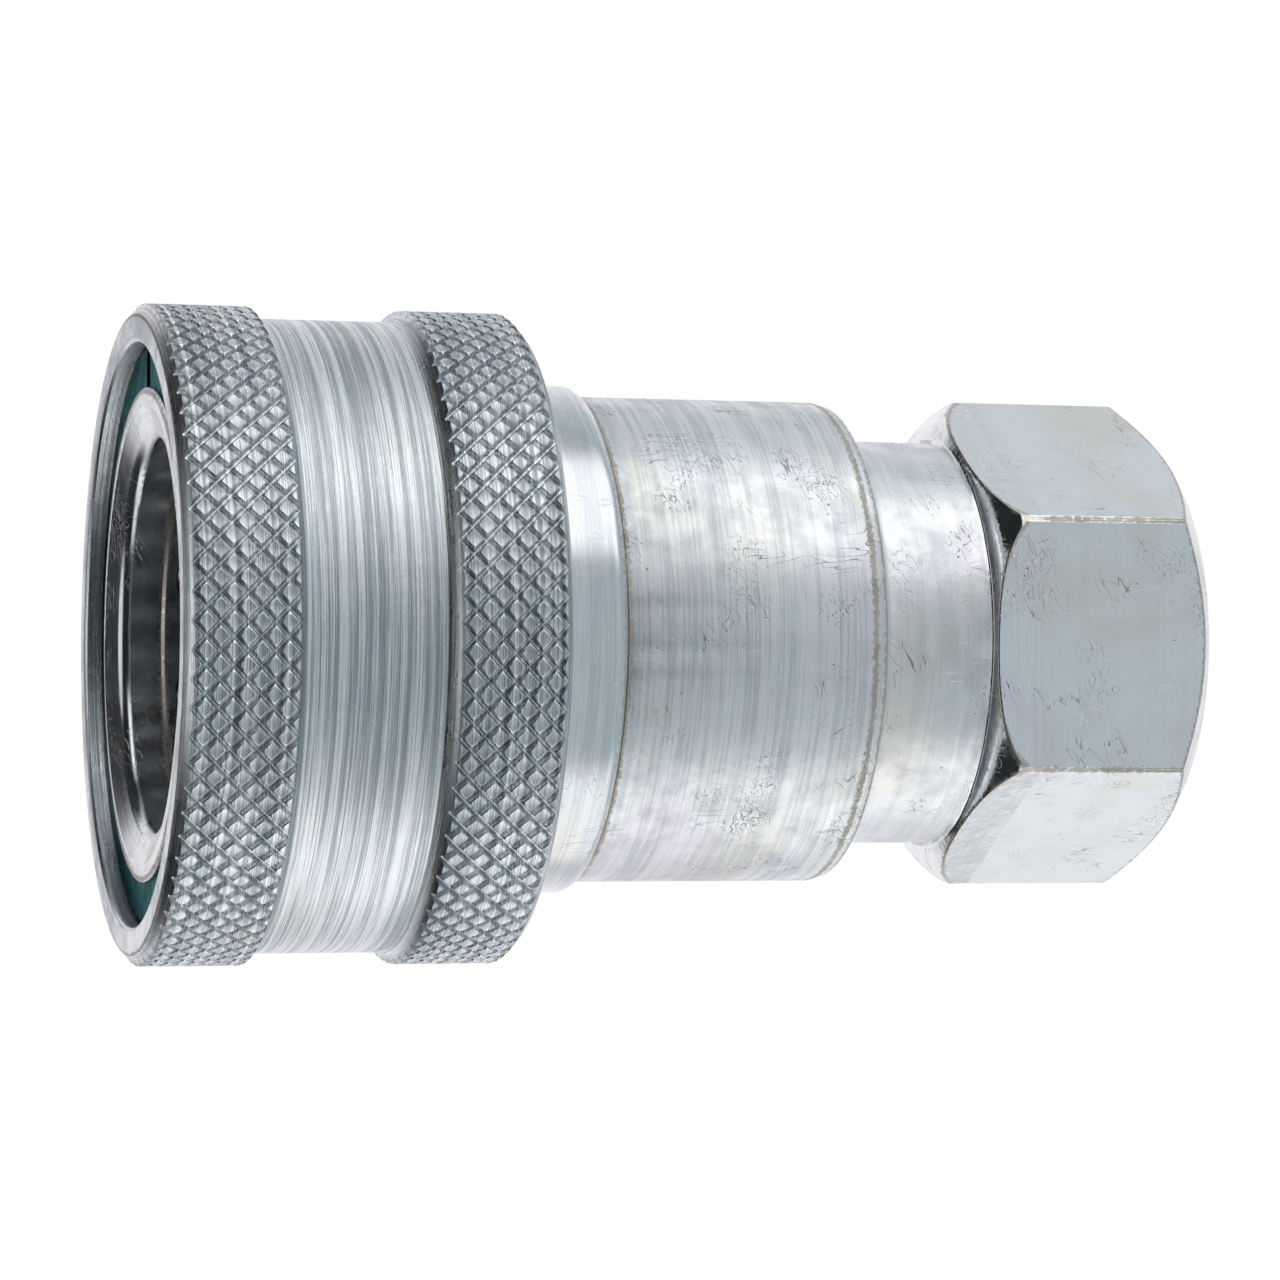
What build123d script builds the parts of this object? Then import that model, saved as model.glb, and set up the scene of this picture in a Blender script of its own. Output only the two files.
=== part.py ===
from build123d import *
import os
from math import asin, cos, pi, radians, sin, sqrt, tan

# Ball-lock hydraulic coupler: the socket half, standing on its pipe end with the mouth up.
# Millimetres. Z = 0 is the rear face of the hexagon. A depth is measured down from the mouth.

# ---- whole coupler -------------------------------------------------------------------
overall_length = 65.8  # rear face to the sleeve's mouth
nipple_bore_radius = 11.8  # the bore that takes the nipple
entry_step = 0.20  # the bore is this much wider in front of the balls
hex_across_flats = 27.0  # wrench size
port_bore_radius = 9.13  # tapping size of a 1/2-14 taper pipe thread
port_length = 14.0

# ---- clearances ----------------------------------------------------------------------
slide_gap = 0.10  # radial, sleeve on nose
collar_gap = 0.20  # radial, sleeve skirt over the collar and the flange
rest_gap = 0.03  # between faces that rest on each other
ball_gap = 0.05  # round a ball in its hole, and to the sleeve's ramp
seat_gap = 0.10  # between the valve's cone and its seat, square to the cone
stem_gap = 0.05  # radial, valve stem in its guide
joint_gap = 0.02  # radial, rear adapter in the socket body

# ---- locking balls and the sleeve's stroke --------------------------------------------
ball_count = 10
ball_diameter = 4.7625
nose_wall = 3.35  # wall of the nose, which the balls pass through
ball_proud = 0.05  # a locked ball stands out of the nose by this much
ball_spare = 0.04  # a released ball clears the bore by this much
sleeve_travel = 5.0

# ---- retaining ring in front of the sleeve's land --------------------------------------
ring_depth = 1.05
ring_thickness = 1.0
ring_groove_depth = 0.80
ring_split = 1.2
mouth_gap = 0.20  # radial, ring inside the sleeve's mouth
land_face_width = 1.10  # the land's front face, outside its ramp

# ---- sleeve spring ---------------------------------------------------------------------
sleeve_wire = 1.40
sleeve_wire_room = 0.375  # each side of the wire
sleeve_spring_turns = 3.6
sleeve_spring_spare = 0.76  # left between the turns when the sleeve is right back

# ---- sleeve ----------------------------------------------------------------------------
sleeve_wall = 2.20  # under the plain band, and outside the mouth
face_bevel = 0.70
front_knurl_end = 6.65
band_start = 7.3
band_slope = 0.90  # length of the slope from the plain band up to the rear knurl
band_step = 0.75  # the plain band lies this far below the knurl's crests
rear_knurl_width = 6.0
rear_bevel = 0.50
mouth_round = 0.45
land_back = 2.1  # from the foot of the ramp to the spring
skirt_overhang = 1.04  # the skirt reaches this far behind the collar

# ---- socket body ------------------------------------------------------------------------
nose_depth = 0.70  # the nose stands this far inside the mouth
lead_in_depth = 0.75
entry_land = 0.4  # full bore between the entry's step and the ball holes
lead_in_crest = 0.95  # from the nose's edge in to the crest of the lip
collar_width = 1.6
collar_step = 0.5  # the collar stands out from the flange by at least this much
flange_show = 4.6  # length of flange that shows behind the sleeve
flange_wall = 2.45
flange_round = 0.9
throat_radius = 7.5
throat_length = 1.8
seat_angle = 45.0

# ---- seals ---------------------------------------------------------------------------
tip_ring_section = 1.78
tip_ring_squeeze = 0.10  # stands into the bore by this much
tip_ring_setback = 1.94  # from the ball holes to the seal's groove
backup_width = 1.25
groove_slack = 0.10
bore_tail = 1.77  # plain bore behind the seal's groove
joint_ring_section = 1.50
joint_ring_room = 2.0
joint_ring_offset = 1.6  # from the spigot's end to its groove
poppet_ring_section = 1.30
poppet_ring_clearance = 0.03

# ---- rear adapter -----------------------------------------------------------------------
chamber_radius = 10.5  # valve chamber
chamber_lead = 0.3  # plain chamber between the valve seat and the spigot
spigot_wall = 2.9
spigot_length = 6.0
barrel_step = 0.65  # the barrel is this much smaller than the flange
barrel_length = 16.35
barrel_edge = 0.80  # height of the barrel's rear bevel
barrel_edge_drop = 0.22
neck_radius = 12.8
neck_length = 7.45
neck_round = 1.3
shoulder_radius = 3.66
shoulder_overrun = 0.43  # the shoulder's arc would reach this far past the corners
corner_turn = 0.14  # the hexagon's corners are turned down by this much
flat_edge_round = 0.15  # broken edge all round each wrench flat
rear_chamfer_height = 2.0
rear_face_radius = 12.5
passage_radius = 8.6
port_countersink = 1.75

# ---- valve ----------------------------------------------------------------------------
poppet_travel = 5.0
poppet_nose_radius = 3.4
poppet_nose_length = 2.4
poppet_disc_setback = 0.3  # the head's front lies this far behind the bore's floor
throat_play = 0.3
head_play = 1.1
head_rim = 1.1
stem_radius = 2.5
stem_past_guide = 2.6
poppet_wire = 1.0
poppet_spring_radius = 5.5
poppet_spring_turns = 5.5
poppet_spring_spare = 1.4
guide_thickness = 2.6
guide_arms = 3
guide_arm_width = 2.4
guide_rim_play = 0.05

# ---- radii worked out from the values above ------------------------------------------------
ball_radius = ball_diameter / 2
nose_radius = nipple_bore_radius + nose_wall
land_radius = nose_radius + slide_gap
locked_radius = nose_radius + ball_proud - ball_radius  # a locked ball's centre, from the axis
tip_groove_floor = nipple_bore_radius - tip_ring_squeeze + tip_ring_section + rest_gap
spigot_radius = chamber_radius + spigot_wall
flange_radius = spigot_radius + flange_wall
barrel_radius = flange_radius - barrel_step
spring_room = sleeve_wire + 2 * sleeve_wire_room
cavity_radius = max(nose_radius + spring_room, flange_radius + collar_step + collar_gap)
collar_radius = cavity_radius - collar_gap
pilot_radius = throat_radius - throat_play
head_radius = chamber_radius - head_play
guide_hub_radius = poppet_spring_radius + poppet_wire / 2 + 0.3

# ---- ball ramp: it moves the balls in proportion to the sleeve ----------------------------
ball_travel = ball_diameter - nose_wall - ball_proud + ball_spare
ramp_slope = ball_travel / sleeve_travel
land_front = ring_depth + ring_thickness + rest_gap
ball_depth = land_front + sleeve_travel - ball_gap
ramp_at_ball = locked_radius + (ball_radius + ball_gap) * sqrt(1 + ramp_slope**2)
ramp_front_radius = ramp_at_ball + ramp_slope * (ball_depth - land_front)
ramp_foot = ball_depth + (ramp_at_ball - land_radius) / ramp_slope
mouth_radius = ramp_front_radius + land_face_width
crest_radius = max(mouth_radius, cavity_radius + band_step) + sleeve_wall
band_radius = crest_radius - band_step

# ---- depths, from the mouth back ------------------------------------------------------------
land_end = ramp_foot + land_back
collar_depth = land_end + sleeve_travel + sleeve_spring_turns * sleeve_wire + sleeve_spring_spare
collar_end = collar_depth + collar_width
sleeve_length = collar_end + skirt_overhang
rear_knurl_end = sleeve_length - rear_bevel
rear_knurl_start = rear_knurl_end - rear_knurl_width
band_end = rear_knurl_start - band_slope
seal_groove_start = ball_depth + ball_radius + ball_gap + tip_ring_setback
seal_groove_end = seal_groove_start + tip_ring_section + backup_width + 2 * groove_slack
bore_end = seal_groove_end + bore_tail
throat_end = bore_end + throat_length
seat_slope = 1 / tan(radians(seat_angle))
seat_end = throat_end + (chamber_radius - throat_radius) * seat_slope
spigot_end = seat_end + chamber_lead
flange_rim_depth = max(sleeve_length + flange_show, spigot_end + spigot_length)
barrel_end = flange_rim_depth + barrel_length
neck_end = barrel_end + neck_length
poppet_disc_depth = bore_end + poppet_disc_setback


def seat_depth(radius, inside):
    """Depth of the valve seat's cone at a radius, moved back square to itself by inside."""
    return throat_end + (radius - throat_radius) * seat_slope + inside * sqrt(1 + seat_slope**2)


head_shoulder = seat_depth(head_radius, seat_gap)
head_back = head_shoulder + head_rim
poppet_spring_height = poppet_travel + poppet_spring_turns * poppet_wire + poppet_spring_spare
guide_front = head_back + poppet_spring_height
guide_back = guide_front + guide_thickness


def turned(*corners):
    """Body of revolution from the corners (radius, depth, rounding) of a closed outline."""
    points = [(corner[0], overall_length - corner[1]) for corner in corners]
    roundings = [corner[2] if len(corner) > 2 else 0 for corner in corners]
    outline = FilletPolyline(*points, radius=roundings, close=True)
    return revolve(Plane.XZ * make_face(outline), Axis.Z)


def ring(mean_radius, section_radius, depth):
    """Ring of round section."""
    return Pos(0, 0, overall_length - depth) * Torus(mean_radius, section_radius)


def coil(mean_radius, wire, turns, front_depth, back_depth):
    """Compression spring standing between two faces, clear of both by the resting gap."""
    inset = wire / 2 + rest_gap
    bottom = overall_length - back_depth + inset
    height = back_depth - front_depth - 2 * inset
    path = Pos(0, 0, bottom) * Helix(height / turns, height, mean_radius)
    section = Plane(origin=path @ 0, z_dir=path % 0) * Circle(wire / 2)
    return sweep(section, path=path, is_frenet=True)


def ball_place(number, centre_radius):
    """Location of one ball, with its X axis pointing outwards."""
    turn = Rot(0, 0, 360 * number / ball_count)
    return turn * Pos(centre_radius, 0, overall_length - ball_depth)


def sleeve():
    skirt_bevel = 0.3
    return turned(
        (mouth_radius, 0, mouth_round),
        (crest_radius - face_bevel, 0, 0.25),
        (crest_radius, face_bevel, 0.25),
        (crest_radius, front_knurl_end),
        (band_radius, band_start),
        (band_radius, band_end),
        (crest_radius - 0.1, rear_knurl_start),
        (crest_radius, rear_knurl_start + 0.1),
        (crest_radius, rear_knurl_end),
        (crest_radius - rear_bevel, sleeve_length),
        (cavity_radius + skirt_bevel, sleeve_length),
        (cavity_radius, sleeve_length - skirt_bevel),
        (cavity_radius, land_end),
        (land_radius, land_end),
        (land_radius, ramp_foot),
        (ramp_front_radius, land_front),
        (mouth_radius, land_front),
    )


def ball_holes():
    """Radial holes for the balls, with a lip at the bore that keeps each ball in."""
    hole_radius = ball_radius + ball_gap
    drop = locked_radius - nipple_bore_radius
    lip_radius = sqrt(ball_radius**2 - drop**2) + ball_gap
    outline = Polyline(
        (-2 * drop, 0),
        (-2 * drop, lip_radius),
        (-drop, lip_radius),
        (-drop / 3, hole_radius),
        (2 * nose_wall, hole_radius),
        (2 * nose_wall, 0),
        close=True,
    )
    hole = revolve(make_face(outline), Axis.X)
    return [ball_place(number, locked_radius) * hole for number in range(ball_count)]


def socket_body():
    crest = nose_radius - lead_in_crest
    ring_floor = nose_radius - ring_groove_depth
    entry_radius = nipple_bore_radius + entry_step
    entry_end = ball_depth - ball_radius - ball_gap - entry_land - entry_step
    shell = turned(
        (nipple_bore_radius, entry_end + entry_step),
        (entry_radius, entry_end),
        (entry_radius, nose_depth + lead_in_depth, 0.8),
        (crest, nose_depth, 0.6),
        (nose_radius, nose_depth + 0.12, 0.12),
        (nose_radius, ring_depth - rest_gap),
        (ring_floor, ring_depth - rest_gap),
        (ring_floor, ring_depth + ring_thickness + rest_gap),
        (nose_radius, ring_depth + ring_thickness + rest_gap),
        (nose_radius, collar_depth),
        (collar_radius, collar_depth),
        (collar_radius, collar_end, 0.3),
        (flange_radius, collar_end),
        (flange_radius, flange_rim_depth, flange_round),
        (spigot_radius, flange_rim_depth),
        (spigot_radius, spigot_end - rest_gap),
        (chamber_radius, spigot_end - rest_gap),
        (chamber_radius, seat_end),
        (throat_radius, throat_end),
        (throat_radius, bore_end + 0.4),
        (throat_radius + 0.4, bore_end),
        (nipple_bore_radius, bore_end, 0.5),
        (nipple_bore_radius, seal_groove_end),
        (tip_groove_floor, seal_groove_end),
        (tip_groove_floor, seal_groove_start),
        (nipple_bore_radius, seal_groove_start),
    )
    return shell - ball_holes()


def retaining_ring():
    inner = nose_radius - ring_groove_depth + rest_gap
    outer = mouth_radius - mouth_gap
    washer = turned(
        (inner, ring_depth),
        (outer, ring_depth, 0.2),
        (outer, ring_depth + ring_thickness),
        (inner, ring_depth + ring_thickness),
    )
    split_middle = Pos((inner + outer) / 2, 0, overall_length - ring_depth - ring_thickness / 2)
    return washer - split_middle * Box(2 * (outer - inner), ring_split, 2 * ring_thickness)


def tip_seal():
    section = tip_ring_section / 2
    mean_radius = nipple_bore_radius - tip_ring_squeeze + section
    return ring(mean_radius, section, seal_groove_start + groove_slack / 2 + section)


def tip_backup():
    front = seal_groove_start + tip_ring_section + groove_slack
    outer = tip_groove_floor - rest_gap
    return turned(
        (nipple_bore_radius + rest_gap, front),
        (outer, front),
        (outer, front + backup_width),
        (nipple_bore_radius + rest_gap, front + backup_width),
    )


def joint_seal():
    groove_floor = spigot_radius - joint_gap - joint_ring_section
    depth = spigot_end + joint_ring_offset + joint_ring_room / 2
    return ring(groove_floor + joint_ring_section / 2, joint_ring_section / 2 - joint_gap, depth)


def hexagon_envelope():
    """Turned outline of the adapter behind the neck, wide enough to hold every corner."""
    corner_radius = hex_across_flats / 2 / cos(pi / 6) - corner_turn
    centre_radius = corner_radius + shoulder_overrun - shoulder_radius
    centre_depth = neck_end + sqrt(shoulder_radius**2 - (neck_radius - centre_radius) ** 2)

    def on_arc(angle):
        radius = centre_radius + shoulder_radius * sin(angle)
        return radius, overall_length - centre_depth + shoulder_radius * cos(angle)

    first = asin((neck_radius - centre_radius) / shoulder_radius)
    last = asin((corner_radius - centre_radius) / shoulder_radius)
    start, end = on_arc(first), on_arc(last)
    outline = (
        ThreePointArc(start, on_arc((first + last) / 2), end)
        + Line(end, (corner_radius, rear_chamfer_height))
        + Line((corner_radius, rear_chamfer_height), (rear_face_radius, 0))
        + Polyline((rear_face_radius, 0), (0, 0), (0, overall_length - neck_end), start)
    )
    return revolve(Plane.XZ * make_face(outline), Axis.Z)


def rear_adapter():
    spigot_outer = spigot_radius - joint_gap
    groove_front = spigot_end + joint_ring_offset
    groove_back = groove_front + joint_ring_room
    groove_floor = spigot_outer - joint_ring_section
    shaft = turned(
        (0, spigot_end),
        (spigot_outer, spigot_end, 0.3),
        (spigot_outer, groove_front),
        (groove_floor, groove_front),
        (groove_floor, groove_back),
        (spigot_outer, groove_back),
        (spigot_outer, flange_rim_depth + rest_gap),
        (barrel_radius, flange_rim_depth + rest_gap),
        (barrel_radius, barrel_end - barrel_edge),
        (barrel_radius - barrel_edge_drop, barrel_end, 0.15),
        (neck_radius, barrel_end, neck_round),
        (neck_radius, neck_end + 0.1),
        (0, neck_end + 0.1),
    )
    flats = RegularPolygon(hex_across_flats / 2, 6, major_radius=False)
    hexagon = hexagon_envelope() & extrude(flats, overall_length - barrel_end)
    planes = hexagon.faces().filter_by(GeomType.PLANE)
    wrench_flats = [face for face in planes if abs(face.normal_at().Z) < 0.01]
    hexagon = fillet([edge for face in wrench_flats for edge in face.edges()], flat_edge_round)
    port_start = overall_length - port_length
    waterway = turned(
        (0, spigot_end - 1),
        (chamber_radius, spigot_end - 1),
        (chamber_radius, guide_back + rest_gap),
        (passage_radius, guide_back + rest_gap),
        (passage_radius, port_start - (port_bore_radius - passage_radius)),
        (port_bore_radius, port_start),
        (port_bore_radius, overall_length - port_countersink),
        (port_bore_radius + port_countersink, overall_length),
        (port_bore_radius + port_countersink, overall_length + 1),
        (0, overall_length + 1),
    )
    return shaft + hexagon - waterway


def poppet_ring_place():
    """Radius and depth of the middle of the valve's seal ring, just off the seat."""
    contact = (pilot_radius + head_radius) / 2
    inset = poppet_ring_section / 2 + poppet_ring_clearance
    tilt = sqrt(1 + seat_slope**2)
    return contact - inset * seat_slope / tilt, seat_depth(contact, 0) + inset / tilt


def poppet_valve():
    radius, depth = poppet_ring_place()
    nose_end = poppet_disc_depth - poppet_nose_length
    head = turned(
        (0, nose_end),
        (poppet_nose_radius, nose_end, 0.8),
        (poppet_nose_radius, poppet_disc_depth, 0.8),
        (pilot_radius, poppet_disc_depth, 0.3),
        (pilot_radius, seat_depth(pilot_radius, seat_gap)),
        (head_radius, head_shoulder),
        (head_radius, head_back, 0.4),
        (stem_radius, head_back, 0.8),
        (stem_radius, guide_back + stem_past_guide, 0.5),
        (0, guide_back + stem_past_guide),
    )
    return head - ring(radius, poppet_ring_section / 2 + poppet_ring_clearance, depth)


def valve_guide():
    rim_outer = chamber_radius - guide_rim_play
    rim = turned(
        (passage_radius, guide_front),
        (rim_outer, guide_front, 0.2),
        (rim_outer, guide_back),
        (passage_radius, guide_back),
    )
    hub = turned(
        (0, guide_front),
        (guide_hub_radius, guide_front, 0.3),
        (guide_hub_radius, guide_back, 0.3),
        (0, guide_back),
    )
    arm_length = passage_radius + (rim_outer - passage_radius) / 2
    arm = Pos(arm_length / 2, 0, overall_length - (guide_front + guide_back) / 2) * Box(
        arm_length, guide_arm_width, guide_thickness
    )
    arms = [Rot(0, 0, 360 * number / guide_arms) * arm for number in range(guide_arms)]
    stem_hole = Cylinder(stem_radius + stem_gap, 3 * overall_length)
    return rim + hub + arms - stem_hole


pieces = {
    "sleeve": sleeve(),
    "sleeve_spring": coil(
        (nose_radius + cavity_radius) / 2, sleeve_wire, sleeve_spring_turns, land_end, collar_depth
    ),
    "sleeve_retaining_ring": retaining_ring(),
    "socket_body": socket_body(),
    "rear_adapter": rear_adapter(),
    "tip_seal_o_ring": tip_seal(),
    "tip_seal_backup_ring": tip_backup(),
    "body_joint_o_ring": joint_seal(),
    "poppet_valve": poppet_valve(),
    "poppet_seal_ring": ring(
        poppet_ring_place()[0], poppet_ring_section / 2, poppet_ring_place()[1]
    ),
    "poppet_spring": coil(
        poppet_spring_radius, poppet_wire, poppet_spring_turns, head_back, guide_front
    ),
    "valve_guide": valve_guide(),
}
for number in range(ball_count):
    ball = ball_place(number, locked_radius) * Sphere(ball_radius)
    pieces[f"locking_ball_{number + 1:02d}"] = ball

os.makedirs("parts", exist_ok=True)
for name, piece in pieces.items():
    export_step(piece, f"parts/{name}.step")

print("sleeve radius", round(crest_radius, 3), "ball travel", round(ball_travel, 4))
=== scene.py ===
import math
import bmesh
import bpy
from mathutils import Matrix, Vector, noise


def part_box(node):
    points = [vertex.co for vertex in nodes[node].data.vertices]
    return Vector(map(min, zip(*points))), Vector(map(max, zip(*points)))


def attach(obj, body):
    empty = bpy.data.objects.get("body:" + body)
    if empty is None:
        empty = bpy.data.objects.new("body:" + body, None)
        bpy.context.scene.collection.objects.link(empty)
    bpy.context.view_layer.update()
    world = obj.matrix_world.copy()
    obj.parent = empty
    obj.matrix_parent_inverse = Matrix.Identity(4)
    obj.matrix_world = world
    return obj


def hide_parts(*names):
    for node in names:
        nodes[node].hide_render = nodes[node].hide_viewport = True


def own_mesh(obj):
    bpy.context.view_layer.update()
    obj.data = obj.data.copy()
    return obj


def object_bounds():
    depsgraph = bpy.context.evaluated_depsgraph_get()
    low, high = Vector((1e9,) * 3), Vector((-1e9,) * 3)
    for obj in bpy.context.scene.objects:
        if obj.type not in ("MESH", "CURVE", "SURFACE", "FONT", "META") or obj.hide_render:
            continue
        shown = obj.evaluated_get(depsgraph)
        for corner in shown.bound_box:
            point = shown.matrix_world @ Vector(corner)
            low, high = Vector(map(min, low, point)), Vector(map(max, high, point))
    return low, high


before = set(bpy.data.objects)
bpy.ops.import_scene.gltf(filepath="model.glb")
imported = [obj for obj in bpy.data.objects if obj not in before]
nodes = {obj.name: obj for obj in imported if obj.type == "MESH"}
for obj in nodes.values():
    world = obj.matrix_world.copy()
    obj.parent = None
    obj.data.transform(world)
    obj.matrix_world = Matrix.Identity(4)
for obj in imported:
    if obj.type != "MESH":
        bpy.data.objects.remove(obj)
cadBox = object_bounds()
mm = 0.001
weld = 0.002  # mm, points nearer than this become one


def addNode(tree, kind, inputs=None, **settings):
    made = tree.nodes.new("ShaderNode" + kind)
    for name, value in settings.items():
        setattr(made, name, value)
    fill(tree, made, inputs or {})
    return made


def fill(tree, made, inputs):
    for key, value in inputs.items():
        if isinstance(value, bpy.types.NodeSocket):
            tree.links.new(value, made.inputs[key])
        else:
            made.inputs[key].default_value = value


def calc(tree, operation, a, b=0.0, c=0.0):
    return addNode(tree, "Math", {0: a, 1: b, 2: c}, operation=operation).outputs[0]


def times(tree, first, *others):
    for other in others:
        first = calc(tree, "MULTIPLY", first, other)
    return first


def fade(tree, value, low, high, start=0.0, end=1.0):
    inputs = {"Value": value, "From Min": low, "From Max": high, "To Min": start, "To Max": end}
    ramp = addNode(tree, "MapRange", inputs, interpolation_type="SMOOTHSTEP")
    return ramp.outputs["Result"]


def grain(tree, vector, scale, detail=2.0, roughness=0.5, distortion=0.0):
    inputs = {"Vector": vector, "Scale": scale, "Detail": detail, "Roughness": roughness}
    inputs["Distortion"] = distortion
    return addNode(tree, "TexNoise", inputs).outputs["Fac"]


def mix(tree, factor, first, second, blend="MIX"):
    made = addNode(tree, "Mix", {"Factor": factor}, data_type="RGBA", blend_type=blend)
    for socket, value in zip([s for s in made.inputs if s.type == "RGBA"], (first, second)):
        if isinstance(value, bpy.types.NodeSocket):
            tree.links.new(value, socket)
        else:
            socket.default_value = value
    return [s for s in made.outputs if s.type == "RGBA"][0]


def grey(tree, value):
    return addNode(tree, "CombineColor", {0: value, 1: value, 2: value}).outputs[0]


def split(tree, vector):
    return addNode(tree, "SeparateXYZ", {0: vector}).outputs


def radiusOf(tree, part):
    square = calc(tree, "ADD", calc(tree, "POWER", part["X"], 2.0), calc(tree, "POWER", part["Y"], 2.0))
    return calc(tree, "SQRT", square)


def angleOf(tree, part):
    # round the axis, 0 where the camera stands
    return calc(tree, "ARCTAN2", part["X"], calc(tree, "MULTIPLY", part["Y"], -1.0))


def apart(tree, first, second):
    return calc(tree, "ABSOLUTE", calc(tree, "SUBTRACT", first, second))


def newGroup(name, ins, outs):
    tree = bpy.data.node_groups.new(name, "ShaderNodeTree")
    for label, kind, value in ins:
        socket = tree.interface.new_socket(label, in_out="INPUT", socket_type="NodeSocket" + kind)
        if value is not None:
            socket.default_value = value
    for label, kind in outs:
        tree.interface.new_socket(label, in_out="OUTPUT", socket_type="NodeSocket" + kind)
    given = tree.nodes.new("NodeGroupInput").outputs
    result = tree.nodes.new("NodeGroupOutput").inputs
    return tree, given, result


def useGroup(tree, group, inputs):
    made = tree.nodes.new("ShaderNodeGroup")
    made.node_tree = group
    fill(tree, made, inputs)
    return made.outputs


view = {
    "lens": 126.25,
    "sensor": 36.0,
    "rise": 15.64,  # degrees, how far the camera looks down on the standing coupler
    "roll": 0.58,  # degrees
    "aim": 33.87,  # mm up the axis
    "across": 0.486,  # mm, sideways step that frames the coupler
    "distance": 282.9,  # mm
    "near": 0.01,  # m
    "far": 20.0,  # m
}


def makeCamera():
    rise, roll = math.radians(view["rise"]), math.radians(view["roll"])
    ahead = Vector((0, math.cos(rise), -math.sin(rise)))
    level = Vector((0, -math.sin(rise), -math.cos(rise)))  # mouth to pipe end, the coupler lies on its side
    down = Vector((-1, 0, 0))
    right = math.cos(roll) * level - math.sin(roll) * down
    up = -math.sin(roll) * level - math.cos(roll) * down
    place = Vector((0, 0, view["aim"])) + level * view["across"] - ahead * view["distance"]
    data = bpy.data.cameras.new("camera")
    data.lens, data.sensor_width = view["lens"], view["sensor"]
    data.clip_start, data.clip_end = view["near"], view["far"]
    camera = bpy.data.objects.new("camera", data)
    turn = Matrix((right, up, -ahead)).transposed()
    camera.matrix_world = Matrix.Translation(place * mm) @ turn.to_4x4()
    bpy.context.scene.collection.objects.link(camera)
    bpy.context.scene.camera = camera


studio = {
    # two soft boxes: degrees round from the camera, half width, soft edge, brightness
    "key": {"side": 65.0, "half": 28.0, "edge": 10.0, "light": 1.42},
    "fill": {"side": -91.0, "half": 34.0, "edge": 14.0, "light": 1.18},
    "boxTop": 22.0, "topEdge": 0.1,  # degrees up, radians
    "boxBottom": -50.0, "bottomEdge": 0.2,
    "room": (0.49, 0.55, 0.58), "back": (1.0, 0.97, 1.0), "backFrom": 100.0, "backTo": 165.0,
    # a dark ring above the room, higher up at the back, and a light lid over it
    "dimFrom": -2.0, "dimTo": 11.0, "backDim": 20.0, "ringLight": 0.04,
    "lidFrom": 63.0, "lidTo": 71.0, "lidLight": 0.95,
}


def softBox(tree, side, reach, box):
    away = apart(tree, side, math.radians(box["side"]))
    inner, outer = math.radians(box["half"] - box["edge"]), math.radians(box["half"] + box["edge"])
    return times(tree, fade(tree, away, inner, outer, 1.0, 0.0), reach, box["light"])


def makeStudio():
    world = bpy.data.worlds.new("studio")
    bpy.context.scene.world = world
    world.use_nodes = True
    tree = world.node_tree
    tree.nodes.clear()
    s = studio
    part = split(tree, addNode(tree, "TexCoord").outputs["Generated"])
    side = angleOf(tree, part)
    height = calc(tree, "ARCSINE", part["Z"])
    top, bottom = math.radians(s["boxTop"]), math.radians(s["boxBottom"])
    below = fade(tree, height, top - s["topEdge"], top + s["topEdge"], 1.0, 0.0)
    above = fade(tree, height, bottom - s["bottomEdge"], bottom + s["bottomEdge"])
    reach = times(tree, below, above)
    boxes = calc(tree, "ADD", softBox(tree, side, reach, s["key"]), softBox(tree, side, reach, s["fill"]))
    rear = fade(tree, calc(tree, "ABSOLUTE", side), math.radians(s["backFrom"]), math.radians(s["backTo"]))
    room = mix(tree, rear, (*s["room"], 1), (*s["back"], 1))
    lift = calc(tree, "SUBTRACT", height, times(tree, rear, math.radians(s["backDim"])))
    dim = fade(tree, lift, math.radians(s["dimFrom"]), math.radians(s["dimTo"]), 1.0, s["ringLight"])
    room = mix(tree, 1.0, room, grey(tree, dim), "MULTIPLY")
    lid = fade(tree, height, math.radians(s["lidFrom"]), math.radians(s["lidTo"]), 0.0, s["lidLight"])
    light = mix(tree, 1.0, room, grey(tree, calc(tree, "ADD", boxes, lid)), "LIGHTEN")
    seen = addNode(tree, "LightPath").outputs["Is Camera Ray"]
    light = mix(tree, seen, light, (1, 1, 1, 1))  # plain white behind the coupler
    background = addNode(tree, "Background", {"Color": light, "Strength": 1.0})
    out = addNode(tree, "OutputWorld")
    tree.links.new(background.outputs[0], out.inputs["Surface"])


table = {"half": 3.0, "gap": 0.05}  # m, and mm under the coupler


def makeFloor():
    bm = bmesh.new()
    bmesh.ops.create_grid(bm, x_segments=1, y_segments=1, size=table["half"])
    bmesh.ops.translate(bm, verts=bm.verts, vec=(0, 0, cadBox[0][2] - table["gap"] * mm))
    mesh = bpy.data.meshes.new("floor")
    bm.to_mesh(mesh)
    bm.free()
    floor = bpy.data.objects.new("floor", mesh)
    bpy.context.scene.collection.objects.link(floor)
    paper = bpy.data.materials.new("white_paper")
    paper.use_nodes = True
    paper.node_tree.nodes.clear()
    glow = addNode(paper.node_tree, "Emission", {"Color": (1, 1, 1, 1), "Strength": 1.0})
    out = addNode(paper.node_tree, "OutputMaterial")
    paper.node_tree.links.new(glow.outputs[0], out.inputs["Surface"])
    mesh.materials.append(paper)
    floor.visible_glossy = False  # the boxes reach below the table, as round a glass light table
    floor.visible_diffuse = False
    floor.visible_shadow = False
    floor.visible_transmission = False


bpy.context.scene.view_settings.view_transform = "Standard"
makeCamera()
makeStudio()
makeFloor()
print("camera, studio and floor done")


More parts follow.
